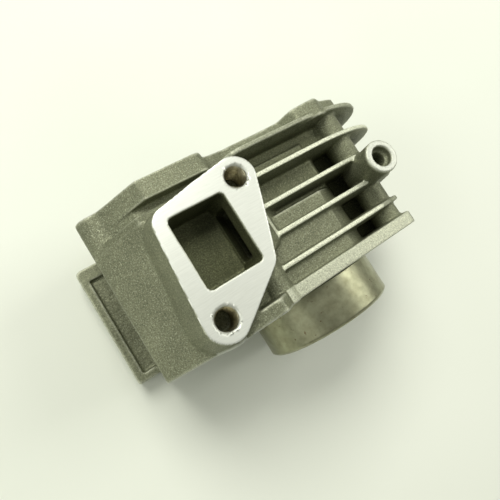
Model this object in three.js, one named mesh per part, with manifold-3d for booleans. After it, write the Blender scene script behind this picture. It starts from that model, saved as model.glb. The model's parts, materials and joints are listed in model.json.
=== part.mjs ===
// Cylinder with integral head of a small air-cooled overhead-valve engine, with its valve gear.
// Modelled standing on its bore: bore along +Z, exhaust side -Y, intake side +Y, pushrods at -X,
// base gasket face at Z = 0. The closing block lays it on its intake side. Millimetres.
import * as THREE from "three";
import { ConvexGeometry } from "three/addons/geometries/ConvexGeometry.js";
import { mergeVertices } from "three/addons/utils/BufferGeometryUtils.js";
import Module from "manifold-3d";

// ---------- driving sizes ----------
const BORE_R = 17;
const SPIGOT_LENGTH = 12.7;
const BASE_THICK = 3.7;
const ROOF_Z = 17; // combustion-chamber roof
const RIM_TOP = 47.1; // valve-cover gasket face
const RIM_THICK = 5.6;
const FIN_TIP_Y = 22;
const FIN_END_X = 50;
const FLANGE_Y = 32; // exhaust flange face, on the -Y side
const REST_Y = 25; // intake flange face, on the +Y side
const LEFT_X = -51;
const PLATE_LEFT_X = -58.4;
const PLATE_RIGHT_X = -8;
const PLATE_LOW_Z = 1.9;
const PLATE_HIGH_Z = 43;
const VALVE_X = -3;
const STEM_R = 1.75;
const SPRING_WIRE = 1.1;
const SHAFT_R = 2.5;
const VALVE_ARM = 16;
const PUSHROD_ARM = 17;
const PUSHROD_R = 1.5;
const SCREW_R = 1.5;
const BOLT_CORE_R = 2.1; // tapping size of the M5 holes
const FLANGE_CORE_R = 2.5; // tapping size of the M6 holes in the exhaust and intake faces
const GAP = 0.3; // clearance between neighbouring pieces

// ---------- derived sizes ----------
const LINER_R = BORE_R + 1.6;
const SPIGOT_R = BORE_R + 3.5;
const POCKET_R = LINER_R + GAP;
const BARREL_R = POCKET_R + 3.7;
const BARREL_FLAT_LOW = POCKET_R + 1.2;
const BARREL_FLAT_HIGH = POCKET_R - 2.9; // the head above the bore is slimmer
const BARREL_LEFT_X = -17; // inside the block
const VALVE_Y = 0.506 * BORE_R;
const SEAT_R = 0.447 * BORE_R;
const SEAT_THICK = 3;
const BARREL_STEP_Z = ROOF_Z + SEAT_THICK + GAP + 2; // keeps a full wall round the valve seats
const SEAT_BORE_R = SEAT_R - 2;
const PORT_Z = ROOF_Z + 4.3;
const PORT_R = 3.4;
const BOWL_TOP_Z = PORT_Z + PORT_R;
const STEM_BORE_R = STEM_R + GAP;
const GUIDE_R = STEM_BORE_R + 0.75;
const GUIDE_BORE_R = GUIDE_R + GAP;
const SPRING_R = GUIDE_R + 0.5 + SPRING_WIRE;
const RIM_LOW = RIM_TOP - RIM_THICK;
const SHOULDER_Z = RIM_LOW - 3.5;
const FLOOR_Z = RIM_TOP - 19.1; // rocker-chamber floor
const PIVOT_Z = RIM_TOP - 3.8;
const TIP_Z = RIM_TOP - 7.1; // top of the closed valve stem
const RETAINER_TOP = TIP_Z - 0.6;
const RETAINER_THICK = 2;
const SPRING_TOP = RETAINER_TOP - RETAINER_THICK - GAP;
const SEAT_WASHER_THICK = 0.8;
const SPRING_LOW = FLOOR_Z + GAP + SEAT_WASHER_THICK + GAP;
const GUIDE_TOP = FLOOR_Z + 3.2;
const PAD_R = 4;
const SHAFT_X = VALVE_X - VALVE_ARM;
const PUSHROD_X = SHAFT_X - PUSHROD_ARM;
const BALL_R = 1.6;
const BALL_Z = PIVOT_Z - 1.6;
const SCREW_TOP = PIVOT_Z + 7;
const ARM_WIDTH = 4.4;
const HUB_R = SHAFT_R + 1.8;
const HUB_LENGTH = 8;
const CHAMBER_Y = VALVE_Y + SPRING_R + GAP;
const SHAFT_WALL_Y = CHAMBER_Y + 1.6; // wall the shaft sits in, at its own X
const FIN_LOW_Z = [0.176, 0.3525, 0.528, 0.709, 0.892].map((share) => share * RIM_TOP);
const FIN_THICK = 1.3; // at the tip
const FIN_DRAFT_DEPTH = 5;
const FIN_DRAFT = 0.9; // growth of each side over that depth
const FIN_REACH = [43, 47, 49, FIN_END_X, FIN_END_X];
const FIN_CENTRE_X = 16;
const COLUMN_X = 29;
const COLUMN_Y = 14;
const COLUMN_R = 4.3;
const BOSS_X = 28.8;
const BOSS_Z = 20.8;
const BOSS_R = 5;
const BOSS_FACE_Y = 28;
const COUNTERBORE_R = 3;
const BLOCK_LEFT_Y = 12; // front of the block at its left end
const BLOCK_REAR_Y = 18;
const CHAMBER_LEFT_X = LEFT_X + 3.5;
const CHAMBER_RIGHT_X = VALVE_X + 8.5;
const WELL_RIGHT_X = -30; // pushrod well, between this and the left wall
const BRIDGE_LOW_Z = 20;
const BRIDGE_THICK = 4;

const wasm = await Module();
wasm.setup();

// ---------- shape helpers ----------
// A closed surface as a solid that can be added and cut.
function solid(geometry) {
  const bare = geometry.clone();
  bare.deleteAttribute("normal");
  bare.deleteAttribute("uv");
  const merged = mergeVertices(bare, 1e-4);
  const corners = merged.index.array;
  const kept = [];
  for (let i = 0; i < corners.length; i += 3) {
    const [a, b, c] = [corners[i], corners[i + 1], corners[i + 2]];
    if (a !== b && b !== c && c !== a) {
      kept.push(a, b, c);
    }
  }
  return new wasm.Manifold(
    new wasm.Mesh({
      numProp: 3,
      vertProperties: merged.attributes.position.array,
      triVerts: new Uint32Array(kept),
    }),
  );
}

const join = (...solids) => solids.reduce((whole, next) => whole.add(next));
const cut = (whole, ...solids) => solids.reduce((left, next) => left.subtract(next), whole);

// Closed outline through corners [x, y, radius], each corner rounded to its radius.
function outline(corners, steps = 4) {
  const points = [];
  const count = corners.length;
  corners.forEach(([x, y, radius = 0], i) => {
    const here = new THREE.Vector2(x, y);
    if (!radius) {
      points.push(here);
      return;
    }
    const [px, py] = corners[(i + count - 1) % count];
    const [qx, qy] = corners[(i + 1) % count];
    const back = new THREE.Vector2(px, py).sub(here);
    const ahead = new THREE.Vector2(qx, qy).sub(here);
    const reach = 0.48 * Math.min(back.length(), ahead.length());
    back.normalize();
    ahead.normalize();
    const half = Math.acos(THREE.MathUtils.clamp(back.dot(ahead), -1, 1)) / 2;
    const trim = Math.min(radius / Math.tan(half), reach);
    const r = trim * Math.tan(half);
    const centre = here.clone().addScaledVector(back.clone().add(ahead).normalize(), r / Math.sin(half));
    const from = here.clone().addScaledVector(back, trim).sub(centre);
    const to = here.clone().addScaledVector(ahead, trim).sub(centre);
    const start = Math.atan2(from.y, from.x);
    const turn = Math.atan2(from.x * to.y - from.y * to.x, from.dot(to));
    for (let k = 0; k <= steps; k++) {
      const a = start + (turn * k) / steps;
      points.push(new THREE.Vector2(centre.x + r * Math.cos(a), centre.y + r * Math.sin(a)));
    }
  });
  return points;
}

// Corners on the -Y side followed by their mirror images on the +Y side.
function bothSides(corners) {
  const mirrored = corners.map(([x, y, r]) => [x, -y, r]).reverse();
  return [...corners, ...mirrored];
}

// Outline in X-Y, standing from low to high in Z.
function upright(points, low, high) {
  const g = new THREE.ExtrudeGeometry(new THREE.Shape(points), { depth: high - low, bevelEnabled: false });
  g.translate(0, 0, low);
  return solid(g);
}

// Outline in X-Z, running from low to high in Y.
function across(points, low, high) {
  const g = new THREE.ExtrudeGeometry(new THREE.Shape(points), { depth: high - low, bevelEnabled: false });
  g.rotateX(Math.PI / 2);
  g.translate(0, high, 0);
  return solid(g);
}

// Round bar or cone between two points.
function rod(from, to, r, rEnd = r, segments = 18) {
  const a = new THREE.Vector3(...from);
  const b = new THREE.Vector3(...to);
  const g = new THREE.CylinderGeometry(rEnd, r, a.distanceTo(b), segments);
  g.applyQuaternion(
    new THREE.Quaternion().setFromUnitVectors(new THREE.Vector3(0, 1, 0), b.clone().sub(a).normalize()),
  );
  g.translate(...a.add(b).multiplyScalar(0.5).toArray());
  return solid(g);
}

const post = (x, y, low, high, r, segments = 18) => rod([x, y, low], [x, y, high], r, r, segments);

function box(x0, x1, y0, y1, z0, z1) {
  const g = new THREE.BoxGeometry(x1 - x0, y1 - y0, z1 - z0);
  g.translate((x0 + x1) / 2, (y0 + y1) / 2, (z0 + z1) / 2);
  return solid(g);
}

// Turned shape about a vertical axis at (x, y): profile is [radius, z] pairs.
function turned(profile, x, y, segments = 20) {
  const closed = [...profile, profile[0]].map(([r, z]) => new THREE.Vector2(r, z));
  const g = new THREE.LatheGeometry(closed, segments);
  g.rotateX(Math.PI / 2);
  g.translate(x, y, 0);
  const made = solid(g);
  return made.volume() > 0 ? made : solid(flipped(g));
}

function flipped(geometry) {
  const g = geometry.clone();
  const index = g.index.array;
  for (let i = 0; i < index.length; i += 3) {
    [index[i + 1], index[i + 2]] = [index[i + 2], index[i + 1]];
  }
  return g;
}

// Smallest body holding two outlines given at two depths in Y.
function drafted(pointsA, yA, pointsB, yB) {
  const corners = [
    ...pointsA.map((p) => new THREE.Vector3(p.x, yA, p.y)),
    ...pointsB.map((p) => new THREE.Vector3(p.x, yB, p.y)),
  ];
  return solid(new ConvexGeometry(corners));
}

const materials = {
  cast: { color: 0xb3b2a6, roughness: 0.62, metalness: 0.75 },
  iron: { color: 0x8d8880, roughness: 0.42, metalness: 0.85 },
  steel: { color: 0x9a9da0, roughness: 0.32, metalness: 0.95 },
  darkSteel: { color: 0x4d4f52, roughness: 0.45, metalness: 0.85 },
  spring: { color: 0x6f747a, roughness: 0.35, metalness: 0.9 },
  bronze: { color: 0xa58a55, roughness: 0.4, metalness: 0.9 },
  rubber: { color: 0x2c3a30, roughness: 0.7, metalness: 0 },
};

const root = new THREE.Group();
root.name = "cylinder_head";

function addPiece(name, body, finish) {
  const made = body.getMesh();
  const g = new THREE.BufferGeometry();
  const xyz = new Float32Array(made.numVert * 3);
  for (let i = 0; i < made.numVert; i++) {
    xyz.set(made.vertProperties.subarray(i * made.numProp, i * made.numProp + 3), i * 3);
  }
  g.setAttribute("position", new THREE.BufferAttribute(xyz, 3));
  g.setIndex(new THREE.BufferAttribute(made.triVerts, 1));
  g.computeVertexNormals();
  const mesh = new THREE.Mesh(g, new THREE.MeshStandardMaterial(materials[finish]));
  mesh.name = name;
  root.add(mesh);
}

// ---------- casting: outside ----------
const rimOutline = outline(
  bothSides([
    [LEFT_X, -13.2, 3.5],
    [-44.5, -13.9, 4],
    [-33.7, -FIN_TIP_Y, 1.2],
    [-15, -FIN_TIP_Y, 2.5],
    [-12.6, -16.4, 2],
    [-6.5, -15.4, 4],
    [13.6, -15.9, 3],
    [17, -20.6, 3],
    [25.5, -21.8, 3.5],
    [30, -17.2, 3],
    [38.5, -13.5, 5],
  ]),
);
const rim = upright(rimOutline, RIM_LOW, RIM_TOP);

const neckUnderRim = upright(
  outline(
    bothSides([
      [LEFT_X, -13.2, 3.5],
      [-44.5, -13.9, 4],
      [-37.5, -18.5, 2],
      [-15, -18.5, 2],
      [-12.8, -CHAMBER_Y - 1.6, 2],
      [30, -CHAMBER_Y - 1.2, 5],
    ]),
  ),
  SHOULDER_Z - 4,
  RIM_LOW + 1,
);

const blockCorners = (inset) => [
  [LEFT_X + inset, -BLOCK_LEFT_Y + inset * 0.5, 1.5],
  [-37.9, -23.4 + inset, 1],
  [-17, -24 + inset, 3],
  [-14, -14, 0],
  [-14, BLOCK_REAR_Y, 0],
  [LEFT_X + inset, BLOCK_REAR_Y, 0],
];
const shoulder = outline(blockCorners(0)).map((p) => new THREE.Vector3(p.x, p.y, SHOULDER_Z - 1.6));
const shoulderTop = outline(blockCorners(1.5)).map((p) => new THREE.Vector3(p.x, p.y, SHOULDER_Z + 0.6));
const block = join(
  upright(outline(blockCorners(0)), 0, SHOULDER_Z - 1.6),
  solid(new ConvexGeometry([...shoulder, ...shoulderTop])),
);

// Round barrel with a flat front and back; the bore needs more wall low down than the head above it.
function barrelLevel(flat, low, high) {
  const edge = Math.sqrt(BARREL_R ** 2 - flat ** 2);
  const points = [];
  const half = Math.atan2(flat, edge);
  const steps = 14;
  for (let k = 0; k <= steps; k++) {
    const a = -half + (2 * half * k) / steps;
    points.push(new THREE.Vector2(BARREL_R * Math.cos(a), BARREL_R * Math.sin(a)));
  }
  points.push(new THREE.Vector2(BARREL_LEFT_X, flat));
  points.push(new THREE.Vector2(BARREL_LEFT_X, -flat));
  return upright(points, low, high);
}
const barrel = join(
  barrelLevel(BARREL_FLAT_LOW, 0, BARREL_STEP_Z),
  barrelLevel(BARREL_FLAT_HIGH, BARREL_STEP_Z - 0.5, SHOULDER_Z),
);

// Fins: straight front and back edges closed by half an ellipse at the right-hand end.
function finOutline(reach, start) {
  const points = start.map(([x, y]) => new THREE.Vector2(x, y));
  const steps = 20;
  for (let k = 0; k <= steps; k++) {
    const a = -Math.PI / 2 + (Math.PI * k) / steps;
    points.push(
      new THREE.Vector2(FIN_CENTRE_X + (reach - FIN_CENTRE_X) * Math.cos(a), FIN_TIP_Y * Math.sin(a)),
    );
  }
  for (const [x, y] of [...start].reverse()) {
    points.push(new THREE.Vector2(x, -y));
  }
  return points;
}
const blockStart = [[-16, -FIN_TIP_Y]];
const rimStart = [
  [-9.6, -14],
  [-9.4, -17.4],
  [-8.5, -20],
  [-6.8, -21.4],
  [-4.4, -FIN_TIP_Y],
];
// Each fin thickens on both sides from its tip to its root.
function fin(reach, start, low) {
  const tip = finOutline(reach, start);
  const root = finOutline(reach, start).map((p) => {
    const toCentre = new THREE.Vector2(Math.min(p.x, FIN_CENTRE_X), 0).sub(p);
    return p.clone().addScaledVector(toCentre.normalize(), FIN_DRAFT_DEPTH);
  });
  const corners = [];
  for (const p of tip) {
    corners.push(new THREE.Vector3(p.x, p.y, low), new THREE.Vector3(p.x, p.y, low + FIN_THICK));
  }
  for (const p of root) {
    corners.push(new THREE.Vector3(p.x, p.y, low - FIN_DRAFT));
    corners.push(new THREE.Vector3(p.x, p.y, low + FIN_THICK + FIN_DRAFT / 2));
  }
  return solid(new ConvexGeometry(corners));
}
const fins = FIN_LOW_Z.map((low, i) =>
  fin(FIN_REACH[i], i === FIN_LOW_Z.length - 1 ? rimStart : blockStart, low),
);

const columns = [-1, 1].map((side) => post(COLUMN_X, side * COLUMN_Y, 0, RIM_LOW + 1, COLUMN_R, 24));
const cornerColumn = post(-17, -20, 0, 16, 5, 24);
const web = box(18, COLUMN_X + 3.5, -9, 9, 0, SHOULDER_Z - 3);

const base = upright(
  outline([
    [33, -FIN_TIP_Y, 4],
    [33, FIN_TIP_Y, 4],
    [LEFT_X, BLOCK_REAR_Y + 1, 0],
    [LEFT_X, -BLOCK_LEFT_Y, 1.5],
    [-37.9, -23.4, 0.8],
    [-33.4, -29.3, 1.5],
    [-19.9, -30.4, 1.4],
    [-14.4, -FIN_TIP_Y, 2.4],
  ]),
  0,
  BASE_THICK,
);

// Intake-side plate, wider than the block, with a shallow recess on its front.
const plate = across(
  outline([
    [PLATE_LEFT_X, PLATE_LOW_Z, 0.8],
    [PLATE_RIGHT_X, PLATE_LOW_Z, 2],
    [PLATE_RIGHT_X, PLATE_HIGH_Z, 3],
    [PLATE_LEFT_X, PLATE_HIGH_Z, 1.5],
  ]),
  REST_Y - 8,
  REST_Y,
);
const plateRecess = box(
  PLATE_LEFT_X + 2.8,
  LEFT_X + 0.4,
  REST_Y - 9,
  REST_Y - 6.6,
  PLATE_LOW_Z + 2.5,
  PLATE_HIGH_Z - 4.5,
);

// Exhaust flange: two screw lobes and two plain corners, drafted out towards the block.
const LOWER_LOBE = [-33.85, 6.28];
const UPPER_LOBE = [-13.94, 33.62];
const flangeCircles = [
  [...UPPER_LOBE, 5.2],
  [...LOWER_LOBE, 5.5],
  [-33.3, 31, 4],
  [-20.7, 14.6, 5],
];
function lobes(growth) {
  const points = [];
  const steps = 16;
  for (const [x, z, r] of flangeCircles) {
    for (let k = 0; k < steps; k++) {
      const a = (2 * Math.PI * k) / steps;
      points.push(new THREE.Vector2(x + (r + growth) * Math.cos(a), z + (r + growth) * Math.sin(a)));
    }
  }
  return points;
}
const NECK_BACK_Y = 18;
const NECK_DRAFT = 0.218; // growth per millimetre of depth
const neckBack = lobes(NECK_DRAFT * (FLANGE_Y - NECK_BACK_Y));
const flange = drafted(lobes(0), -FLANGE_Y, neckBack, -NECK_BACK_Y).intersect(
  box(-80, 20, -FLANGE_Y - 1, 0, 0, SHOULDER_Z + 1.4),
);

// Exhaust duct: a round throat over the valve that widens to the pocket's right-hand wall.
function duct(growth, mouthX) {
  const corners = [];
  for (let k = 0; k < 16; k++) {
    const a = (2 * Math.PI * k) / 16;
    const r = PORT_R + growth;
    const wide = r * Math.cos(a);
    corners.push(
      new THREE.Vector3(VALVE_X + 0.69 * wide, -VALVE_Y - 0.72 * wide, PORT_Z + r * Math.sin(a)),
    );
  }
  for (const y of [-29.5 - growth, -23.5 + growth]) {
    for (const z of [15 - growth, 30 + growth]) {
      corners.push(new THREE.Vector3(mouthX, y, z));
    }
  }
  return solid(new ConvexGeometry(corners));
}
const exhaustDuct = duct(1.8, -17);
const intakeStart = [VALVE_X, VALVE_Y, PORT_Z];
const intakeEnd = [-30, REST_Y + 6, PORT_Z];
const intakeDuct = rod(intakeStart, [-20.5, REST_Y - 2, PORT_Z], PORT_R + 2.1, PORT_R + 4);

const frontBoss = rod([BOSS_X, -BOSS_FACE_Y, BOSS_Z], [BOSS_X, -COLUMN_Y, BOSS_Z], BOSS_R, BOSS_R, 32);
const rearBoss = rod([BOSS_X, REST_Y, BOSS_Z], [BOSS_X, COLUMN_Y, BOSS_Z], BOSS_R);

// Spark-plug boss, leaning to the rear and up.
const plugAxis = new THREE.Vector3(0.12, 0.74, 0.66).normalize();
const plugStart = new THREE.Vector3(13, 3, ROOF_Z);
const alongPlug = (distance) => plugStart.clone().addScaledVector(plugAxis, distance).toArray();
const PLUG_R = 4.5;
const PLUG_BOSS_R = 8;
const PLUG_SPOT_R = 8.6;
const PLUG_SEAT = 15.5; // from the roof to the plug's seat
const plugBoss = rod(alongPlug(4), alongPlug(PLUG_SEAT), PLUG_BOSS_R, PLUG_BOSS_R, 24);

// ---------- casting: openings ----------
const borePocket = post(0, 0, -1, ROOF_Z, POCKET_R, 60);
const seatPockets = [-1, 1].map((side) =>
  post(VALVE_X, side * VALVE_Y, ROOF_Z - 0.5, ROOF_Z + SEAT_THICK + GAP, SEAT_R + GAP, 24),
);
const bowls = [-1, 1].map((side) =>
  turned(
    [
      [0, ROOF_Z + SEAT_THICK],
      [SEAT_BORE_R, ROOF_Z + SEAT_THICK],
      [SEAT_BORE_R, PORT_Z + 0.4],
      [PORT_R, BOWL_TOP_Z],
      [0, BOWL_TOP_Z],
    ],
    VALVE_X,
    side * VALVE_Y,
    24,
  ),
);
const guideHoles = [-1, 1].map((side) =>
  post(VALVE_X, side * VALVE_Y, PORT_Z, FLOOR_Z + 1, GUIDE_BORE_R, 20),
);
const exhaustPassage = duct(0, -21.5);
const intakePassage = rod(intakeStart, intakeEnd, PORT_R, PORT_R + 2, 28);

const PORT_LEFT_X = -33.93;
const PORT_RIGHT_X = -18.9;
const PORT_LOW_Z = 13.15;
const PORT_HIGH_Z = 31.98;
const portRect = (x0, x1, z0, z1) =>
  outline([
    [x0, z0, 1.4],
    [x1, z0, 1.4],
    [x1, z1, 1.4],
    [x0, z1, 1.4],
  ]);
const exhaustPocket = drafted(
  portRect(PORT_LEFT_X, PORT_RIGHT_X, PORT_LOW_Z, PORT_HIGH_Z),
  -FLANGE_Y - 0.5,
  portRect(PORT_LEFT_X + 0.3, PORT_RIGHT_X - 2.1, PORT_LOW_Z + 0.3, PORT_HIGH_Z - 0.3),
  -FIN_TIP_Y,
);

const chamberOutline = outline(
  bothSides([
    [CHAMBER_LEFT_X, -9.8, 1.5],
    [-43, -11.2, 2],
    [-36, -SHAFT_WALL_Y, 2],
    [-14, -SHAFT_WALL_Y, 1],
    [-11.5, -CHAMBER_Y, 1],
    [CHAMBER_RIGHT_X, -CHAMBER_Y, 2],
  ]),
  4,
);
const rockerChamber = upright(chamberOutline, FLOOR_Z, RIM_TOP + 1);
const sidePocket = upright(
  outline(
    bothSides([
      [CHAMBER_RIGHT_X - 2, -12.6, 0],
      [16, -12.6, 2],
      [34.5, -10.5, 4],
    ]),
  ),
  RIM_LOW - 0.3,
  RIM_TOP + 1,
);
const wellCorners = [
  [CHAMBER_LEFT_X, -10.5, 1.5],
  [-38.5, -18.5, 1.5],
  [WELL_RIGHT_X, -18.5, 2],
  [WELL_RIGHT_X, 13.5, 2],
  [CHAMBER_LEFT_X, 13.5, 2],
];
const lowerWell = upright(outline(wellCorners, 4), -1, BRIDGE_LOW_Z);
const upperWell = upright(
  outline(
    bothSides([
      [CHAMBER_LEFT_X, -9.8, 1.5],
      [-43, -11.2, 2],
      [-36, -SHAFT_WALL_Y, 2],
      [WELL_RIGHT_X, -SHAFT_WALL_Y, 2],
    ]),
    3,
  ),
  BRIDGE_LOW_Z + BRIDGE_THICK,
  FLOOR_Z + 1,
);
const bridgeHoles = [-1, 1].map((side) =>
  post(PUSHROD_X, side * VALVE_Y, BRIDGE_LOW_Z - 1, BRIDGE_LOW_Z + BRIDGE_THICK + 1, PUSHROD_R + 0.5, 16),
);
const drainHole = post(-41, 0, BRIDGE_LOW_Z - 1, BRIDGE_LOW_Z + BRIDGE_THICK + 1, 3.5, 16);

// Blind tapped hole with a small countersink, opening at "mouth" and running along "inward".
function tapped(mouth, inward, depth, r, sink = 0.6) {
  const at = (d) => mouth.map((v, i) => v + inward[i] * d);
  return join(rod(at(-1), at(depth), r, r, 20), rod(at(-0.3), at(sink), r + sink + 0.3, r, 20));
}
const flangeHoles = [LOWER_LOBE, UPPER_LOBE].map(([x, z]) =>
  tapped([x, -FLANGE_Y, z], [0, 1, 0], 9, FLANGE_CORE_R, 0.8),
);
const intakeHoles = [LOWER_LOBE, UPPER_LOBE].map(([x, z]) =>
  tapped([x, REST_Y, z], [0, -1, 0], 6.5, FLANGE_CORE_R, 0.8),
);
const baseHoles = [
  [COLUMN_X, -COLUMN_Y],
  [COLUMN_X, COLUMN_Y],
  [-25, -COLUMN_Y],
  [-25, COLUMN_Y],
].map(([x, y]) => tapped([x, y, 0], [0, 0, 1], 14, BOLT_CORE_R));
const coverHoles = [
  [-25, -18.4],
  [-25, 18.4],
  [23, -17.4],
  [23, 17.4],
].map(([x, y]) => tapped([x, y, RIM_TOP], [0, 0, -1], 5, 1.7, 0.4));
const frontBossHole = join(
  rod(
    [BOSS_X, -BOSS_FACE_Y - 1, BOSS_Z],
    [BOSS_X, -BOSS_FACE_Y + 2, BOSS_Z],
    COUNTERBORE_R,
    COUNTERBORE_R,
    28,
  ),
  rod([BOSS_X, -BOSS_FACE_Y, BOSS_Z], [BOSS_X, -BOSS_FACE_Y + 11, BOSS_Z], BOLT_CORE_R, BOLT_CORE_R, 24),
);
const rearBossHole = tapped([BOSS_X, REST_Y, BOSS_Z], [0, -1, 0], 9, BOLT_CORE_R);

const SHAFT_FRONT_END = -SHAFT_WALL_Y - 3.2;
const SHAFT_REAR_END = SHAFT_WALL_Y + 5.2;
const shaftHole = rod(
  [SHAFT_X, SHAFT_FRONT_END - GAP, PIVOT_Z],
  [SHAFT_X, FIN_TIP_Y + 5, PIVOT_Z],
  SHAFT_R + GAP,
);
const PIN_R = 1.2;
const PIN_Y = SHAFT_WALL_Y + 2.6;
const pinHole = post(SHAFT_X, PIN_Y, PIVOT_Z - SHAFT_R - 0.9, RIM_TOP + 1, PIN_R + GAP, 20);

const plugHole = join(
  rod(alongPlug(-3), alongPlug(PLUG_SEAT + 1), PLUG_R, PLUG_R, 20),
  rod(alongPlug(PLUG_SEAT), alongPlug(50), PLUG_SPOT_R, PLUG_SPOT_R, 24),
);

addPiece(
  "cylinder_head_casting",
  cut(
    join(
      block,
      neckUnderRim,
      rim,
      barrel,
      ...fins,
      ...columns,
      cornerColumn,
      web,
      base,
      plate,
      flange,
      exhaustDuct,
      intakeDuct.intersect(box(-80, 40, 0, REST_Y, -5, 60)),
      frontBoss,
      rearBoss,
      plugBoss,
    ),
    plateRecess,
    borePocket,
    ...seatPockets,
    ...bowls,
    ...guideHoles,
    exhaustPassage,
    intakePassage,
    exhaustPocket,
    rockerChamber,
    sidePocket,
    lowerWell,
    upperWell,
    ...bridgeHoles,
    drainHole,
    ...flangeHoles,
    ...intakeHoles,
    ...baseHoles,
    ...coverHoles,
    frontBossHole,
    rearBossHole,
    shaftHole,
    pinHole,
    plugHole,
  ),
  "cast",
);

// ---------- liner ----------
addPiece(
  "cylinder_liner",
  turned(
    [
      [BORE_R + 0.8, -SPIGOT_LENGTH],
      [SPIGOT_R - 0.8, -SPIGOT_LENGTH],
      [SPIGOT_R, -SPIGOT_LENGTH + 0.8],
      [SPIGOT_R, -GAP],
      [LINER_R, -GAP],
      [LINER_R, ROOF_Z - GAP],
      [BORE_R, ROOF_Z - GAP],
      [BORE_R, -SPIGOT_LENGTH + 0.8],
    ],
    0,
    0,
    60,
  ),
  "iron",
);

// ---------- rocker shaft ----------
const shaftCrossHole = post(SHAFT_X, PIN_Y, PIVOT_Z - 4, PIVOT_Z + 4, PIN_R + GAP, 20);
addPiece(
  "rocker_shaft",
  cut(
    rod([SHAFT_X, SHAFT_FRONT_END, PIVOT_Z], [SHAFT_X, SHAFT_REAR_END, PIVOT_Z], SHAFT_R),
    shaftCrossHole,
  ),
  "steel",
);
addPiece(
  "rocker_shaft_pin",
  post(SHAFT_X, PIN_Y, PIVOT_Z - SHAFT_R - 0.6, RIM_TOP - 0.6, PIN_R, 20),
  "steel",
);

// Ring about the rocker shaft, from low to high in Y.
function shaftRing(low, high, r) {
  return cut(
    rod([SHAFT_X, low, PIVOT_Z], [SHAFT_X, high, PIVOT_Z], r),
    rod([SHAFT_X, low - 1, PIVOT_Z], [SHAFT_X, high + 1, PIVOT_Z], SHAFT_R + GAP),
  );
}
const HUB_INNER_Y = VALVE_Y - HUB_LENGTH / 2;
const HUB_OUTER_Y = VALVE_Y + HUB_LENGTH / 2;
addPiece("rocker_spacer", shaftRing(-HUB_INNER_Y + GAP, HUB_INNER_Y - GAP, HUB_R - 0.3), "darkSteel");

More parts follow.
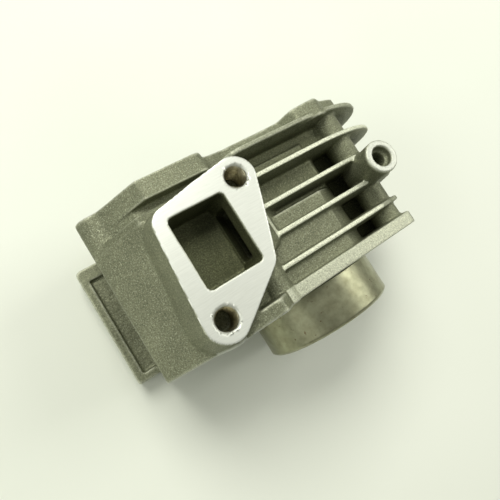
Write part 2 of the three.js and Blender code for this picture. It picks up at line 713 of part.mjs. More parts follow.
// ---------- valve trains ----------
// Everything of one valve: side is -1 for exhaust and +1 for intake.
function valveTrain(title, side) {
  const y = side * VALVE_Y;
  const seatSlope = ROOF_Z + 1.1;
  addPiece(
    title + "_valve_seat",
    turned(
      [
        [SEAT_BORE_R + 1.1, ROOF_Z],
        [SEAT_R, ROOF_Z],
        [SEAT_R, ROOF_Z + SEAT_THICK],
        [SEAT_BORE_R, ROOF_Z + SEAT_THICK],
        [SEAT_BORE_R, seatSlope],
      ],
      VALVE_X,
      y,
    ),
    "iron",
  );
  addPiece(
    title + "_valve_guide",
    turned(
      [
        [STEM_BORE_R, PORT_Z + 2.2],
        [GUIDE_R - 0.3, PORT_Z + 2.2],
        [GUIDE_R, PORT_Z + 3],
        [GUIDE_R, GUIDE_TOP - 0.3],
        [GUIDE_R - 0.3, GUIDE_TOP],
        [STEM_BORE_R, GUIDE_TOP],
      ],
      VALVE_X,
      y,
      18,
    ),
    "bronze",
  );
  const grooveLow = RETAINER_TOP - 1.35;
  const grooveHigh = RETAINER_TOP - 0.35;
  const grooveR = STEM_R - 0.45;
  const headR = SEAT_BORE_R + 1.1 - 1.42 * GAP;
  addPiece(
    title + "_valve",
    turned(
      [
        [0, ROOF_Z - 1],
        [headR, ROOF_Z - 1],
        [headR, ROOF_Z],
        [headR - 1.1, ROOF_Z + 1.1],
        [STEM_R + 1.6, ROOF_Z + 2],
        [STEM_R + 0.5, ROOF_Z + 3.2],
        [STEM_R, ROOF_Z + 5.2],
        [STEM_R, grooveLow],
        [grooveR, grooveLow],
        [grooveR, grooveHigh],
        [STEM_R, grooveHigh],
        [STEM_R, TIP_Z - 0.3],
        [STEM_R - 0.3, TIP_Z],
        [0, TIP_Z],
      ],
      VALVE_X,
      y,
    ),
    "steel",
  );
  addPiece(
    title + "_spring_seat",
    turned(
      [
        [GUIDE_BORE_R, FLOOR_Z + GAP],
        [SPRING_R, FLOOR_Z + GAP],
        [SPRING_R, FLOOR_Z + GAP + SEAT_WASHER_THICK],
        [GUIDE_BORE_R, FLOOR_Z + GAP + SEAT_WASHER_THICK],
      ],
      VALVE_X,
      y,
      18,
    ),
    "steel",
  );
  addPiece(
    title + "_valve_spring",
    turned(
      [
        [SPRING_R - SPRING_WIRE, SPRING_LOW],
        [SPRING_R, SPRING_LOW],
        [SPRING_R, SPRING_TOP],
        [SPRING_R - SPRING_WIRE, SPRING_TOP],
      ],
      VALVE_X,
      y,
      20,
    ),
    "spring",
  );
  // Retainer and its two split keepers share one taper.
  const taper = 0.3;
  const keeperR = STEM_BORE_R + 0.5;
  const low = RETAINER_TOP - RETAINER_THICK;
  addPiece(
    title + "_spring_retainer",
    turned(
      [
        [keeperR + GAP, low],
        [SPRING_R - SPRING_WIRE - 0.15, low],
        [SPRING_R - SPRING_WIRE - 0.15, low + 0.5],
        [SPRING_R, low + 0.5],
        [SPRING_R, RETAINER_TOP - 0.4],
        [SPRING_R - 0.4, RETAINER_TOP],
        [keeperR + GAP + taper, RETAINER_TOP],
      ],
      VALVE_X,
      y,
      20,
    ),
    "darkSteel",
  );
  const keepers = turned(
    [
      [STEM_BORE_R, low + 0.1],
      [keeperR, low + 0.1],
      [keeperR + taper, RETAINER_TOP + 0.1],
      [STEM_BORE_R, RETAINER_TOP + 0.1],
      [STEM_BORE_R, grooveHigh - GAP],
      [grooveR + GAP, grooveHigh - GAP],
      [grooveR + GAP, grooveLow + GAP],
      [STEM_BORE_R, grooveLow + GAP],
    ],
    VALVE_X,
    y,
    16,
  );
  const half = GAP / 2;
  addPiece(
    title + "_keeper_a",
    keepers.intersect(box(VALVE_X + half, VALVE_X + 9, y - 9, y + 9, low - 2, TIP_Z)),
    "steel",
  );
  addPiece(
    title + "_keeper_b",
    keepers.intersect(box(VALVE_X - 9, VALVE_X - half, y - 9, y + 9, low - 2, TIP_Z)),
    "steel",
  );

  // Rocker: hub, web, curved pad over the stem and a boss for the adjusting screw.
  const ends = [y - ARM_WIDTH / 2, y + ARM_WIDTH / 2];
  const padZ = TIP_Z + GAP + PAD_R;
  const web = across(
    outline([
      [PUSHROD_X - 2, PIVOT_Z - 0.8, 0],
      [PUSHROD_X + 3, PIVOT_Z - 0.8, 0],
      [SHAFT_X - 2, PIVOT_Z - HUB_R + 0.4, 2],
      [SHAFT_X + 4, PIVOT_Z - HUB_R + 0.9, 2],
      [VALVE_X - 6, TIP_Z + 1.5, 3],
      [VALVE_X - 1, TIP_Z + 1.3, 0],
      [VALVE_X + 1, padZ, 0],
      [VALVE_X + 1, PIVOT_Z + 2.4, 1],
      [VALVE_X - 6, PIVOT_Z + 3, 3],
      [SHAFT_X, PIVOT_Z + HUB_R - 0.3, 6],
      [PUSHROD_X + 6, PIVOT_Z + 3.2, 4],
      [PUSHROD_X - 2, PIVOT_Z + 2.9, 0],
    ]),
    ends[0],
    ends[1],
  );
  const pad = rod([VALVE_X, ends[0], padZ], [VALVE_X, ends[1], padZ], PAD_R, PAD_R, 24).intersect(
    box(VALVE_X - 2.6, VALVE_X + 2.6, ends[0] - 1, ends[1] + 1, TIP_Z, PIVOT_Z + 2.4),
  );
  const bossTop = PIVOT_Z + 3;
  addPiece(
    title + "_rocker_arm",
    cut(
      join(
        web,
        pad,
        rod([SHAFT_X, y - HUB_LENGTH / 2, PIVOT_Z], [SHAFT_X, y + HUB_LENGTH / 2, PIVOT_Z], HUB_R),
        post(PUSHROD_X, y, PIVOT_Z - 0.8, bossTop, SCREW_R + 1.6, 28),
      ),
      rod([SHAFT_X, y - HUB_LENGTH, PIVOT_Z], [SHAFT_X, y + HUB_LENGTH, PIVOT_Z], SHAFT_R + GAP),
      post(PUSHROD_X, y, PIVOT_Z - 4, bossTop + 2, SCREW_R + GAP, 12),
    ),
    "darkSteel",
  );
  const ball = new THREE.SphereGeometry(BALL_R, 12, 8);
  ball.translate(PUSHROD_X, y, BALL_Z);
  addPiece(
    title + "_adjusting_screw",
    cut(
      join(solid(ball), post(PUSHROD_X, y, BALL_Z, SCREW_TOP, SCREW_R, 12)),
      box(PUSHROD_X - 3, PUSHROD_X + 3, y - 0.35, y + 0.35, SCREW_TOP - 0.8, SCREW_TOP + 1),
    ),
    "steel",
  );
  addPiece(
    title + "_lock_nut",
    cut(
      rod([PUSHROD_X, y, bossTop + GAP], [PUSHROD_X, y, bossTop + GAP + 2], 3.1, 3.1, 6),
      post(PUSHROD_X, y, bossTop, bossTop + 4, SCREW_R + GAP, 12),
    ),
    "steel",
  );

  // Pushrod with a socket for the ball and a round lower end.
  const footLow = 2;
  const cupR = PUSHROD_R + 0.85;
  const cupLow = BALL_Z - BALL_R - 1.8;
  const socket = new THREE.SphereGeometry(BALL_R + GAP, 12, 8);
  socket.translate(PUSHROD_X, y, BALL_Z);
  const foot = new THREE.SphereGeometry(PUSHROD_R, 12, 8);
  foot.translate(PUSHROD_X, y, footLow + PUSHROD_R);
  addPiece(
    title + "_pushrod",
    cut(
      join(
        solid(foot),
        post(PUSHROD_X, y, footLow + PUSHROD_R, cupLow + 0.5, PUSHROD_R, 12),
        rod([PUSHROD_X, y, cupLow - 0.8], [PUSHROD_X, y, cupLow], PUSHROD_R, cupR, 12),
        post(PUSHROD_X, y, cupLow, BALL_Z - 0.6, cupR, 12),
      ),
      solid(socket),
    ),
    "steel",
  );

  // Thrust washer between the hub and the wall the shaft sits in.
  const washer = [HUB_OUTER_Y + GAP, SHAFT_WALL_Y - GAP].map((v) => side * v).sort((a, b) => a - b);
  addPiece(title + "_thrust_washer", shaftRing(washer[0], washer[1], HUB_R - 0.2), "steel");
}
valveTrain("exhaust", -1);
valveTrain("intake", 1);

// Oil seal on the intake guide only.
addPiece(
  "intake_stem_seal",
  turned(
    [
      [STEM_BORE_R, GUIDE_TOP + GAP],
      [GUIDE_R + 0.1, GUIDE_TOP + GAP],
      [GUIDE_R + 0.1, GUIDE_TOP + 1.6],
      [GUIDE_R - 0.3, GUIDE_TOP + 2.2],
      [STEM_BORE_R, GUIDE_TOP + 2.2],
    ],
    VALVE_X,
    VALVE_Y,
    32,
  ),
  "rubber",
);

// ---------- lying on the intake side ----------
root.rotation.x = -Math.PI / 2;
root.position.set(-(PLATE_LEFT_X + FIN_END_X) / 2, (SPIGOT_LENGTH - SCREW_TOP) / 2, REST_Y);

export default root;
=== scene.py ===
import json
import math
import random

import bpy
import numpy as np
from mathutils import Matrix, Vector, noise


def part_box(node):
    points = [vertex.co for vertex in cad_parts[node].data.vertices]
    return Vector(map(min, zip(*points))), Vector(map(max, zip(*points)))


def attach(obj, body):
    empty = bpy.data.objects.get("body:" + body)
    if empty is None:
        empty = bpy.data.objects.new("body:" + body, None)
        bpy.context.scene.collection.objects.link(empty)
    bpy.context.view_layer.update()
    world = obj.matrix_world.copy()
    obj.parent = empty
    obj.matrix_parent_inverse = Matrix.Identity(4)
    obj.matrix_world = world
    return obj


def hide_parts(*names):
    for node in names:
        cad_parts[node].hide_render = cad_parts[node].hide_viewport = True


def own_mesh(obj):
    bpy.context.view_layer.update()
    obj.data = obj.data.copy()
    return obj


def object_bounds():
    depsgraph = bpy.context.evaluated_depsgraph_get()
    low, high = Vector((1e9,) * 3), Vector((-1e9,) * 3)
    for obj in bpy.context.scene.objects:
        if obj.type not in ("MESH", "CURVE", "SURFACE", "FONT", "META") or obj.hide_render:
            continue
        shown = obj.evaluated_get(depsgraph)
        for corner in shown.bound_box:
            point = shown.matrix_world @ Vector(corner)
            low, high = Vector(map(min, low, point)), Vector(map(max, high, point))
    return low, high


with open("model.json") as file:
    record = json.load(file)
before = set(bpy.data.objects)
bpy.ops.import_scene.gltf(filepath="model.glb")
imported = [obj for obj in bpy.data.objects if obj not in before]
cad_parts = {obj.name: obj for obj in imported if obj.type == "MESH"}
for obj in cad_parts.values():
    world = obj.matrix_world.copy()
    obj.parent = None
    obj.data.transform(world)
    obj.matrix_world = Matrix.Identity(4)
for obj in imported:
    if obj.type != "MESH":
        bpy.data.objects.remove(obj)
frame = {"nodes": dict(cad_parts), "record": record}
cad_low, cad_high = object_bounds()
random.seed(7)

MM = 0.001
nodes = frame["nodes"]

# ---------------------------------------------------------------- engine frame
# The engine's own axes: bore along z, exhaust side at -y, pushrods at -x, base gasket face at z = 0.
cast_low, cast_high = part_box("cylinder_head_casting")
REST_Y = 25.0
PLATE_LEFT = -58.4
ORIGIN = Vector((cast_low.x - PLATE_LEFT * MM, cast_low.y, cast_low.z + REST_Y * MM))
RIM_TOP = (cast_high.y - cast_low.y) / MM
FLANGE_Y = -32.0
BOSS = (28.8, 20.8, -28.0)
FIN_TIP_Y = 22.0
FIN_CENTRE_X = 16.0
FIN_END_REACH = 34.0
WEAR_HIGHLIGHT_GAIN = 24.0  # convexity to brightness of a rubbed edge and its painted highlight
FLANGE_HOLES = [(-33.85, 6.28), (-13.94, 33.62)]
FLANGE_CIRCLES = [(-13.94, 33.62, 5.2), (-33.85, 6.28, 5.5), (-33.3, 31, 4), (-20.7, 14.6, 5)]
PORT = (-33.93, -18.9, 13.15, 31.98)
PORT_CORNER = 1.4
THREAD_R = 2.95
SINK_R = 3.3
SINK_DEPTH = 0.6
VOXEL = 0.34
EDGE = 0.12  # half-width of the softened edge round a milled face
EDGE_REACH = 0.45
FINS_FROM_X = -16
BASE_TOP_Z = 3.8
RIM_DEPTH = 5.7
SHADE_DEPTH = 7.0  # how far in from the tips the painted shade between the fins is full
RECESS_RIGHT_X = -51.3
SEAM_X = -33.6
SEAM_WIDTH = 0.22
LINER_WALL = 3.5  # spigot radius less bore radius
LINER_STEP = 1.9  # spigot radius less the radius inside the casting
TURNING_PITCH = 0.21
SPRING_WIRE_R = 0.55
SPRING_TURNS = 4.6


def turn(v):
    return Vector((v[0], v[2], -v[1]))


def at(x, y, z):
    return ORIGIN + turn((x * MM, y * MM, z * MM))


def to_engine(co):
    p = (co - np.array(ORIGIN)) / MM
    return np.stack([p[:, 0], -p[:, 2], p[:, 1]], 1)


def from_engine(p):
    return np.stack([p[:, 0], p[:, 2], -p[:, 1]], 1) * MM + np.array(ORIGIN)


def link(obj):
    bpy.context.scene.collection.objects.link(obj)
    return obj


def mesh_object(name, verts, faces, smooth=True):
    mesh = bpy.data.meshes.new(name)
    mesh.from_pydata([tuple(v) for v in verts], [], [tuple(f) for f in faces])
    mesh.update()
    if smooth:
        mesh.shade_smooth()
    return link(bpy.data.objects.new(name, mesh))


# ---------------------------------------------------------------- materials
class Shader:
    """A Principled material and short ways to add procedural nodes to it."""

    def __init__(self, name, color, rough, metal):
        self.mat = bpy.data.materials.new(name)
        self.mat.use_nodes = True
        self.tree = self.mat.node_tree
        self.bsdf = self.tree.nodes["Principled BSDF"]
        self.bsdf.inputs["Base Color"].default_value = (*color, 1)
        self.bsdf.inputs["Roughness"].default_value = rough
        self.bsdf.inputs["Metallic"].default_value = metal
        coords = self.tree.nodes.new("ShaderNodeTexCoord")
        self.coords = coords.outputs["Object"]

    def node(self, kind, **inputs):
        n = self.tree.nodes.new(kind)
        for key, value in inputs.items():
            key = key.replace("_", " ")
            if hasattr(value, "is_output"):
                self.tree.links.new(value, n.inputs[key])
            else:
                n.inputs[key].default_value = value
        return n

    def scaled(self, factors):
        n = self.tree.nodes.new("ShaderNodeMapping")
        self.tree.links.new(self.coords, n.inputs["Vector"])
        n.inputs["Scale"].default_value = factors
        return n.outputs["Vector"]

    def noise(self, scale, detail=4.0, rough=0.6, vector=None):
        return self.node("ShaderNodeTexNoise", Vector=vector or self.coords, Scale=scale, Detail=detail,
                         Roughness=rough).outputs["Fac"]

    def ramp(self, fac, stops):
        n = self.tree.nodes.new("ShaderNodeValToRGB")
        ramp = n.color_ramp
        while len(ramp.elements) < len(stops):
            ramp.elements.new(0.5)
        for element, (place, color) in zip(ramp.elements, stops):
            element.position = place
            element.color = (*color, 1) if len(color) == 3 else color
        self.tree.links.new(fac, n.inputs["Fac"])
        return n.outputs["Color"]

    def mix(self, fac, a, b, blend="MIX"):
        n = self.tree.nodes.new("ShaderNodeMix")
        n.data_type = "RGBA"
        n.blend_type = blend
        for socket, value in ((n.inputs["Factor"], fac), (n.inputs[6], a), (n.inputs[7], b)):
            if hasattr(value, "is_output"):
                self.tree.links.new(value, socket)
            elif isinstance(value, tuple):
                socket.default_value = (*value, 1)
            else:
                socket.default_value = value
        return n.outputs[2]

    def bump(self, height, strength, distance, normal=None):
        n = self.node("ShaderNodeBump", Strength=strength, Distance=distance, Height=height)
        if normal is not None:
            self.tree.links.new(normal, n.inputs["Normal"])
        return n.outputs["Normal"]

    def attribute(self, name):
        n = self.tree.nodes.new("ShaderNodeAttribute")
        n.attribute_name = name
        return n.outputs["Fac"]

    def set(self, socket, value):
        self.tree.links.new(value, self.bsdf.inputs[socket])


def grey(v):
    return (v, v, v)


def cast_material():
    s = Shader("die_cast_aluminium", (0.28, 0.285, 0.19), 0.55, 0.55)
    grain = s.noise(2600, 3, 0.7)
    blotch = s.noise(90, 5, 0.6)
    warm = s.ramp(blotch, [(0.3, (0.157, 0.165, 0.101)), (0.7, (0.229, 0.239, 0.150))])
    speck = s.ramp(grain, [(0.3, grey(0.55)), (0.55, grey(1.0)), (0.75, grey(1.30))])
    cast_color = s.mix(1.0, warm, speck, "MULTIPLY")
    sparkle = s.ramp(s.noise(3400, 2, 0.5), [(0.56, grey(0.0)), (0.68, grey(1.0))])
    cast_color = s.mix(s.mix(1.0, sparkle, grey(0.5), "MULTIPLY"), cast_color, (0.54, 0.56, 0.40))
    # Rubbed wear and painted highlight: edges and fin tips lightened towards a pale metal.
    cast_color = s.mix(s.attribute("wear_and_highlight"), cast_color, s.mix(1.0, (0.76, 0.78, 0.61), speck, "MULTIPLY"))
    lines = s.noise(1.0, 3, 0.6, s.scaled((260, 4200, 260)))
    milled = s.ramp(lines, [(0.35, (0.70, 0.715, 0.645)), (0.65, (0.76, 0.775, 0.705))])
    cut = s.attribute("machined")
    painted_shade_zone = s.attribute("painted_shade")
    color = s.mix(cut, cast_color, milled)
    # Painted shade: fin gaps, the port and the tapped holes darkened.
    color = s.mix(painted_shade_zone, color, s.mix(1.0, color, (0.42, 0.43, 0.31), "MULTIPLY"))
    s.set("Base Color", color)
    rough = s.mix(cut, s.ramp(grain, [(0.3, grey(0.66)), (0.7, grey(0.46))]), grey(0.42))
    s.set("Roughness", rough)
    height = s.mix(cut, grain, grey(0.5))
    rubbed = s.bump(height, 0.5, 0.00012)
    s.set("Normal", rubbed)
    return s.mat


def metal_material(name, dark, light, rough, metal, scale=900, marks=None, stain=None):
    s = Shader(name, light, rough, metal)
    fac = s.noise(scale, 5, 0.6)
    color = s.ramp(fac, [(0.3, dark), (0.7, light)])
    if stain:
        place = s.ramp(s.noise(620, 3, 0.7), [(0.66, grey(0.0)), (0.72, grey(0.9))])
        color = s.mix(place, color, stain)
    s.set("Base Color", color)
    polish = s.noise(scale * 0.4, 4)
    s.set("Roughness", s.ramp(polish, [(0.3, grey(rough + 0.12)), (0.7, grey(rough - 0.06))]))
    height = s.noise(1.0, 3, 0.6, s.scaled(marks)) if marks else fac
    s.set("Normal", s.bump(height, 0.35, 0.00005))
    return s.mat


CAST = cast_material()
IRON = metal_material("turned_iron", (0.24, 0.235, 0.145), (0.35, 0.355, 0.235), 0.34, 0.92, 420,
                      (160, 5200, 160), (0.13, 0.075, 0.035))
STEEL = metal_material("ground_steel", (0.42, 0.43, 0.44), (0.62, 0.62, 0.62), 0.28, 1.0, 1200,
                       (400, 4000, 400))
DARK = metal_material("oiled_black_steel", (0.05, 0.05, 0.055), (0.13, 0.13, 0.13), 0.42, 0.8, 1500)
SPRING = metal_material("spring_wire", (0.22, 0.23, 0.25), (0.38, 0.39, 0.41), 0.32, 1.0, 1400)
BRONZE = metal_material("bored_bronze", (0.42, 0.30, 0.13), (0.62, 0.47, 0.24), 0.38, 1.0, 900,
                        (300, 4000, 300))
RUBBER = metal_material("seal_rubber", (0.02, 0.04, 0.03), (0.05, 0.08, 0.05), 0.6, 0.0, 1500)
THREAD = metal_material("thread_metal", (0.36, 0.33, 0.22), (0.62, 0.59, 0.44), 0.32, 1.0, 1100)
SLOT_MATERIAL = {"cast": CAST, "iron": IRON, "steel": STEEL, "dark": DARK, "spring": SPRING,
                 "bronze": BRONZE, "seal": RUBBER}


def paint(obj, material):
    obj.data.materials.clear()
    obj.data.materials.append(material)


# ---------------------------------------------------------------- casting surface
def evaluated_copy(obj, name):
    graph = bpy.context.evaluated_depsgraph_get()
    mesh = bpy.data.meshes.new_from_object(obj.evaluated_get(graph))
    mesh.name = name
    return mesh


def hull_distance(q):
    """Signed distance from points (x, z) to the flange's outline, and the outward direction."""
    angles = np.linspace(0, 2 * np.pi, 240, endpoint=False)
    u = np.stack([np.cos(angles), np.sin(angles)], 1)
    support = np.max([u @ np.array([x, z]) + r for x, z, r in FLANGE_CIRCLES], 0)
    gaps = q @ u.T - support
    best = np.argmax(gaps, 1)
    return gaps[np.arange(len(q)), best], u[best]


def port_distance(q):
    """Signed distance from points (x, z) to the port's rounded rectangle, and the outward direction."""
    x0, x1, z0, z1 = PORT
    centre = np.array([(x0 + x1) / 2, (z0 + z1) / 2])
    half = np.array([(x1 - x0) / 2, (z1 - z0) / 2]) - PORT_CORNER
    rel = q - centre
    over = np.abs(rel) - half
    far = np.maximum(over, 0)
    length = np.hypot(far[:, 0], far[:, 1])
    side_way = np.zeros_like(far)
    side_way[np.arange(len(q)), np.argmax(over, 1)] = 1.0
    way = np.where(length[:, None] > 1e-9, far / np.maximum(length, 1e-9)[:, None], side_way)
    return length + np.minimum(np.max(over, 1), 0) - PORT_CORNER, way * np.where(rel < 0, -1, 1)


def finned_zone(p):
    return (p[:, 0] > FINS_FROM_X) & (p[:, 2] > BASE_TOP_Z) & (p[:, 2] < RIM_TOP - RIM_DEPTH)


class Skin:
    """The casting's vertices in the engine frame: how milled, how rubbed and highlighted, and how much
    painted shade each takes.
    """

    def __init__(self, mesh):
        self.count = len(mesh.vertices)
        co = np.empty(self.count * 3)
        mesh.vertices.foreach_get("co", co)
        normal = np.empty(self.count * 3)
        mesh.vertices.foreach_get("normal", normal)
        n = normal.reshape(-1, 3)
        self.p = to_engine(co.reshape(-1, 3))
        self.n = np.stack([n[:, 0], -n[:, 2], n[:, 1]], 1)
        self.machined = np.zeros(self.count)
        self.painted_shade = np.zeros(self.count)
        self.wear_and_highlight = np.zeros(self.count)
        edges = np.empty(len(mesh.edges) * 2, dtype=np.int32)
        mesh.edges.foreach_get("vertices", edges)
        self.ends = (edges[::2], edges[1::2])
        self.degree = np.bincount(edges, minlength=self.count)

    def around(self, values):
        """Mean of the values of each vertex's neighbours."""
        a, b = self.ends
        total = np.bincount(a, values[b], self.count) + np.bincount(b, values[a], self.count)
        return total / self.degree

    def radius(self, x, z):
        return np.hypot(self.p[:, 0] - x, self.p[:, 2] - z)


def edge_wear_highlight_and_fin_shade(skin):
    """Outside edges and fin tips are rubbed bright with a painted highlight; deep between the fins the
    skin gets painted shade.
    """
    p, n = skin.p, skin.n
    mean = np.stack([skin.around(p[:, k]) for k in range(3)], 1)
    wear_and_highlight = np.einsum("ij,ij->i", p - mean, n)
    for _ in range(4):
        wear_and_highlight = 0.4 * wear_and_highlight + 0.6 * skin.around(wear_and_highlight)
    wear_and_highlight = np.clip(wear_and_highlight * WEAR_HIGHLIGHT_GAIN - 0.2, 0, 1)
    # The base's front edge: rubbed wear and painted highlight.
    base_edge = (p[:, 2] < BASE_TOP_Z) & (np.abs(p[:, 1]) > FIN_TIP_Y - 0.8) & (p[:, 0] > FINS_FROM_X)
    wear_and_highlight[base_edge] = np.maximum(wear_and_highlight[base_edge], 0.6)
    past_centre = np.maximum(p[:, 0] - FIN_CENTRE_X, 0)
    across_end = np.hypot(past_centre / FIN_END_REACH, p[:, 1] / FIN_TIP_Y)
    depth = (1 - across_end) * FIN_TIP_Y
    outward = np.stack([past_centre / FIN_END_REACH ** 2, p[:, 1] / FIN_TIP_Y ** 2], 1)
    outward /= np.maximum(np.hypot(outward[:, 0], outward[:, 1]), 1e-9)[:, None]
    facing_out = np.einsum("ij,ij->i", n[:, :2], outward)
    finned = finned_zone(p)
    # Outward-facing fin tips at full brightness: rubbed wear and painted highlight.
    wear_and_highlight[finned & (np.abs(1 - across_end) < 0.03) & (facing_out > 0.6)] = 1.0
    skin.wear_and_highlight = wear_and_highlight
    # Painted shade: darker deeper in between the fins.
    skin.painted_shade[finned] = np.clip(depth[finned] / SHADE_DEPTH - 0.15, 0, 1) * 0.85


def mill_flange(skin):
    """The exhaust flange is milled flat right up to a crisp outline and a crisp port."""
    p, n = skin.p, skin.n
    face = np.nonzero(np.abs(p[:, 1] - FLANGE_Y) < 0.62)[0]
    q = p[face][:, [0, 2]]
    outer, out_dir = hull_distance(q)
    inner, in_dir = port_distance(q)
    to_hole = np.min([np.hypot(q[:, 0] - hx, q[:, 1] - hz) for hx, hz in FLANGE_HOLES], 0)
    worst = np.maximum(outer, -inner)
    on_face = (np.maximum(worst, SINK_R - to_hole) < -EDGE) & (n[face, 1] < -0.2)
    p[face[on_face], 1] = FLANGE_Y
    skin.machined[face[on_face]] = 1.0
    for gap_to, direction in ((outer, out_dir), (-inner, -in_dir)):
        ring = (np.abs(gap_to) < EDGE_REACH) & (worst > -0.2)
        depth_here = np.clip(p[face[ring], 1] - FLANGE_Y, 0, 1)
        step = (gap_to[ring] - 0.2 * depth_here + 0.03)[:, None] * direction[ring]
        p[face[ring], 0] -= step[:, 0]
        p[face[ring], 2] -= step[:, 1]
    top_ring = (worst >= -EDGE) & (worst < EDGE_REACH) & (n[face, 1] < -0.5)
    p[face[top_ring], 1] = FLANGE_Y + 0.04


def mill_joint_faces(skin):
    """The other milled joint faces are pulled flat; the faces round them stay as cast."""
    p, n = skin.p, skin.n
    faces = [(2, RIM_TOP, 1, None), (2, 0.0, -1, None), (1, REST_Y, 1, None),
             (1, BOSS[2], -1, skin.radius(BOSS[0], BOSS[1]) < 6)]
    for axis, value, side, where in faces:
        near = (np.abs(p[:, axis] - value) < 0.7) & (n[:, axis] * side > 0.75)
        if where is not None:
            near &= where
        p[near, axis] = value
        skin.machined[near] = 1.0 if where is None else 0.6


def open_tapped_holes(skin):
    """Tapped holes open out to the thread's full depth behind a round countersink."""
    p = skin.p
    for hx, hz in FLANGE_HOLES:
        r = skin.radius(hx, hz)
        deep = p[:, 1] - FLANGE_Y
        wall = (r < THREAD_R + 0.8) & (r > 1.2) & (deep > SINK_DEPTH) & (deep < 8.6)
        lip = (np.abs(r - SINK_R) < 0.22) & (deep < 0.3) & (deep > -0.3)
        chamfer = (r < SINK_R) & (r > 1.2) & (deep <= SINK_DEPTH)
        goal = np.where(wall, THREAD_R + 0.1, SINK_R)
        both = wall | lip
        scale = goal[both] / np.maximum(r[both], 0.1)
        p[both, 0] = hx + (p[both, 0] - hx) * scale
        p[both, 2] = hz + (p[both, 2] - hz) * scale
        p[lip, 1] = FLANGE_Y + 0.02
        # Painted shade on the tapped holes' walls.
        skin.painted_shade[wall] = 1.0
        skin.machined[lip | chamfer] = 0.8


def shade_port(skin):
    p = skin.p
    x0, x1, z0, z1 = PORT
    # Painted shade: the port's inside is darkened.
    painted_shade_zone = (p[:, 0] > x0 - 0.67) & (p[:, 0] < x1 + 0.9) & (p[:, 2] > z0 - 0.55) & (p[:, 2] < z1 + 0.62)
    painted_shade_zone &= (p[:, 1] > FLANGE_Y + 0.5) & (p[:, 1] < -20)
    skin.painted_shade[painted_shade_zone] = 1.0


def roughen(skin):
    """Sand-like relief of the cast skin, coarser in the plate's recess, and the die's parting flash."""
    p = skin.p
    seed = Vector((11.3, 4.1, 7.7))
    shift = np.empty(skin.count)
    for i in range(skin.count):
        v = Vector(p[i])
        shift[i] = (0.040 * noise.noise(v * 1.25 + seed) + 0.030 * noise.noise(v * 2.4)
                    + 0.05 * noise.noise(v * 0.22))
    recess = (p[:, 0] < RECESS_RIGHT_X) & (p[:, 1] > 14) & (p[:, 1] < 19.5) & (skin.n[:, 1] < -0.6)
    recess &= (p[:, 2] > 5) & (p[:, 2] < 37.5)
    for i in np.nonzero(recess)[0]:
        v = Vector(p[i])
        shift[i] += 0.10 * noise.noise(v * 1.7) + 0.08 * noise.noise(v * 2.9)
    seam = np.exp(-((p[:, 0] - SEAM_X + 0.25 * np.sin(p[:, 2] * 1.7)) / SEAM_WIDTH) ** 2)
    seam *= (p[:, 1] < -20.8) & (p[:, 2] > RIM_TOP - 5.4) & (p[:, 2] < RIM_TOP - 0.4)
    shift += 0.22 * seam
    p += skin.n * (shift * (1.0 - skin.machined))[:, None]


def casting_surface():
    """The casting as one fine skin with softened edges, cast relief and milled faces."""
    obj = link(bpy.data.objects.new("casting_surface", nodes["cylinder_head_casting"].data.copy()))
    remesh = obj.modifiers.new("voxels", "REMESH")
    remesh.mode = "VOXEL"
    remesh.voxel_size = VOXEL * MM
    remesh.adaptivity = 0.0
    soften = obj.modifiers.new("soften", "SMOOTH")
    soften.factor = 0.5
    soften.iterations = 3
    mesh = evaluated_copy(obj, "casting_surface")
    obj.modifiers.clear()
    obj.data = mesh
    skin = Skin(mesh)
    for stage in (edge_wear_highlight_and_fin_shade, mill_flange, mill_joint_faces, open_tapped_holes, shade_port, roughen):
        stage(skin)
    mesh.vertices.foreach_set("co", from_engine(skin.p).reshape(-1))
    # The rubbed highlight stays off milled faces and painted-shade areas.
    skin.wear_and_highlight *= (1.0 - skin.machined) * (1 - skin.painted_shade)
    for name, values in (("machined", skin.machined), ("painted_shade", skin.painted_shade), ("wear_and_highlight", skin.wear_and_highlight)):
        layer = mesh.attributes.new(name, "FLOAT", "POINT")
        layer.data.foreach_set("value", values.astype(np.float32))
    mesh.update()
    mesh.shade_smooth()
    paint(obj, CAST)
    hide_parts("cylinder_head_casting")
    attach(obj, "casting")


# ---------------------------------------------------------------- turned and threaded pieces
def lathe(name, profile, axis_place, segments=96, material=STEEL, wobble=0.0):
    """Closed profile [(radius, z)] turned about an engine-z axis through axis_place (x, y)."""
    verts, faces = [], []
    count = len(profile)
    for s in range(segments):
        a = 2 * math.pi * s / segments
        for r, z in profile:
            verts.append(at(axis_place[0] + r * math.cos(a), axis_place[1] + r * math.sin(a), z))
    for s in range(segments):
        t = (s + 1) % segments
        for i in range(count):
            j = (i + 1) % count
            faces.append((s * count + i, t * count + i, t * count + j, s * count + j))
    obj = mesh_object(name, verts, faces)
    paint(obj, material)
    return obj


def liner():
    """Iron liner with fine turning marks outside and a honed bore."""
    low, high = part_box("cylinder_liner")
    z0 = (low.y - ORIGIN.y) / MM
    z1 = (high.y - ORIGIN.y) / MM
    spigot_r = (high.x - low.x) / 2 / MM
    bore_r = spigot_r - LINER_WALL
    outer_r = spigot_r - LINER_STEP
    profile = [(bore_r + 0.8, z0), (spigot_r - 1.0, z0), (spigot_r - 0.7, z0 + 0.15),
               (spigot_r - 0.05, z0 + 0.8)]
    z = z0 + 1.0
    k = 0
    while z < -0.6:
        groove = 0.018 if k % 2 else 0.0
        profile.append((spigot_r - groove - 0.004 * random.random(), z))
        z += TURNING_PITCH
        k += 1
    profile += [(spigot_r, -0.4), (spigot_r - 0.1, -0.3), (outer_r, -0.3), (outer_r, z1),
                (bore_r + 0.2, z1), (bore_r, z1 - 0.2)]
    z = z1 - 1.0
    while z > z0 + 1.2:
        profile.append((bore_r + 0.006 * random.random(), z))
        z -= 1.0
    profile.append((bore_r, z0 + 0.8))
    obj = lathe("liner_surface", profile, (0, 0), 240, IRON)
    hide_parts("cylinder_liner")
    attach(obj, "casting")


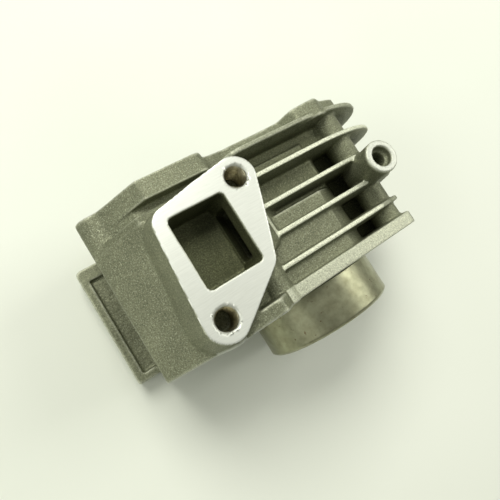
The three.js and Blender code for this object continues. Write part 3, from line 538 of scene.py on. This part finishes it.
def internal_thread(name, mouth, inward, length, r_in, r_out, pitch):
    """Helical thread lining a hole; mouth is in the engine frame, inward a unit vector along the hole."""
    m = Vector(mouth)
    d = Vector(inward)
    u = d.orthogonal().normalized()
    w = d.cross(u)
    around, per_turn = 48, 6
    rows = int(length / pitch * per_turn)
    verts, faces = [], []
    for i in range(rows + 1):
        for j in range(around):
            a = 2 * math.pi * j / around
            depth = length * i / rows
            phase = (depth / pitch - j / around) % 1.0
            r = r_in + (r_out - r_in) * abs(2 * phase - 1)
            q = m + d * depth + (u * math.cos(a) + w * math.sin(a)) * r
            verts.append(at(*q))
    for i in range(rows):
        for j in range(around):
            k = (j + 1) % around
            faces.append((i * around + j, i * around + k, (i + 1) * around + k, (i + 1) * around + j))
    obj = mesh_object(name, verts, faces)
    paint(obj, THREAD)
    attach(obj, "casting")
    return obj


def coil_spring(side):
    """Helical spring with closed, flat ends in place of the sleeve."""
    node = side + "_valve_spring"
    low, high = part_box(node)
    cx, cz = (low.x + high.x) / 2, (low.z + high.z) / 2
    wire = SPRING_WIRE_R * MM
    r = (high.x - low.x) / 2 - wire
    y0, y1 = low.y + wire, high.y - wire
    turns, per_turn, ring = SPRING_TURNS, 36, 12
    steps = int(turns * per_turn)
    flat = 0.8
    verts, faces = [], []
    for i in range(steps + 1):
        t = turns * i / steps
        rise = min(max((t - flat) / (turns - 2 * flat), 0.0), 1.0)
        y = y0 + (y1 - y0) * rise
        a = 2 * math.pi * t
        out = Vector((math.cos(a), 0, math.sin(a)))
        c = Vector((cx, y, cz)) + out * r
        for j in range(ring):
            b = 2 * math.pi * j / ring
            up = math.sin(b) * wire
            if i < per_turn * flat:
                up = max(up, -wire)
            verts.append(c + out * (math.cos(b) * wire) + Vector((0, up, 0)))
    for i in range(steps):
        for j in range(ring):
            k = (j + 1) % ring
            faces.append((i * ring + j, i * ring + k, (i + 1) * ring + k, (i + 1) * ring + j))
    faces.append(tuple(range(ring)))
    faces.append(tuple(steps * ring + j for j in reversed(range(ring))))
    obj = mesh_object(side + "_coil", verts, faces)
    paint(obj, SPRING)
    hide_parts(node)
    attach(obj, "casting")
    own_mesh(obj)


# ---------------------------------------------------------------- build
casting_surface()
liner()
for k, (hx, hz) in enumerate(FLANGE_HOLES):
    internal_thread("flange_thread_%d" % k, (hx, FLANGE_Y + 0.55, hz), (0, 1, 0), 7.8, 2.5, THREAD_R, 1.0)
for side in ("exhaust", "intake"):
    coil_spring(side)

slots = {s["node"]: s["material_slot"] for s in frame["record"]["subparts"]}
for name, obj in nodes.items():
    if obj.hide_render:
        continue
    paint(obj, SLOT_MATERIAL[slots[name]])
    bevel = obj.modifiers.new("edge", "BEVEL")
    bevel.width = 0.12 * MM
    bevel.segments = 2
    bevel.limit_method = "ANGLE"
    bevel.angle_limit = math.radians(40)
    bevel.harden_normals = True
    obj.data.shade_smooth()
    flat = obj.modifiers.new("normals", "WEIGHTED_NORMAL")
    flat.keep_sharp = False

# ---------------------------------------------------------------- floor, light, camera
floor_mat = Shader("pale_paper", (0.90, 0.91, 0.88), 0.9, 0.0)
floor_mat.set("Base Color", floor_mat.ramp(floor_mat.noise(6, 2),
                                           [(0.3, (0.765, 0.79, 0.69)), (0.7, (0.815, 0.835, 0.74))]))
bpy.ops.mesh.primitive_plane_add(size=6.0, location=(0, 0, cad_low[2] - 0.0001))
floor = bpy.context.object
floor.name = "floor"
floor.data.materials.append(floor_mat.mat)


def area(name, place, aim, size, power, color=(1, 1, 1)):
    data = bpy.data.lights.new(name, "AREA")
    data.shape = "SQUARE"
    data.size = size
    data.energy = power
    data.color = color
    obj = link(bpy.data.objects.new(name, data))
    obj.location = place
    obj.rotation_euler = (Vector(aim) - Vector(place)).to_track_quat("-Z", "Y").to_euler()


area("overhead", (-0.02, 0.46, 0.60), (0, 0, 0.02), 0.38, 4.5, (1.0, 1.0, 0.95))
area("right_box", (0.46, 0.00, 0.44), (0, 0, 0.02), 0.30, 1.3, (1.0, 1.0, 0.95))
area("left_fill", (-0.60, 0.10, 0.34), (0, 0, 0.03), 0.35, 1.05, (0.98, 1.0, 0.93))

world = bpy.data.worlds.new("soft_room")
bpy.context.scene.world = world
world.use_nodes = True
world.node_tree.nodes["Background"].inputs["Color"].default_value = (0.93, 0.96, 0.88, 1)
world.node_tree.nodes["Background"].inputs["Strength"].default_value = 0.30

heading, tilt, roll = (math.radians(a) for a in (19.318, -4.452, -32.327))
forward = Vector((math.sin(heading) * math.cos(tilt), math.cos(heading) * math.cos(tilt), -math.sin(tilt)))
side_dir = Vector((math.cos(heading), -math.sin(heading), 0))
up_dir = side_dir.cross(forward)
across_dir = side_dir * math.cos(roll) + up_dir * math.sin(roll)
down_dir = side_dir * math.sin(roll) - up_dir * math.cos(roll)
camera_data = bpy.data.cameras.new("camera")
camera_data.sensor_width = 36
camera_data.lens = 28.477
camera_data.clip_start = 0.005
camera = link(bpy.data.objects.new("camera", camera_data))
axes = Matrix((turn(across_dir), -turn(down_dir), -turn(forward))).transposed()
camera.matrix_world = Matrix.Translation(at(-50.811, -117.353, 9.614)) @ axes.to_4x4()
bpy.context.scene.camera = camera
bpy.context.scene.view_settings.view_transform = "Standard"
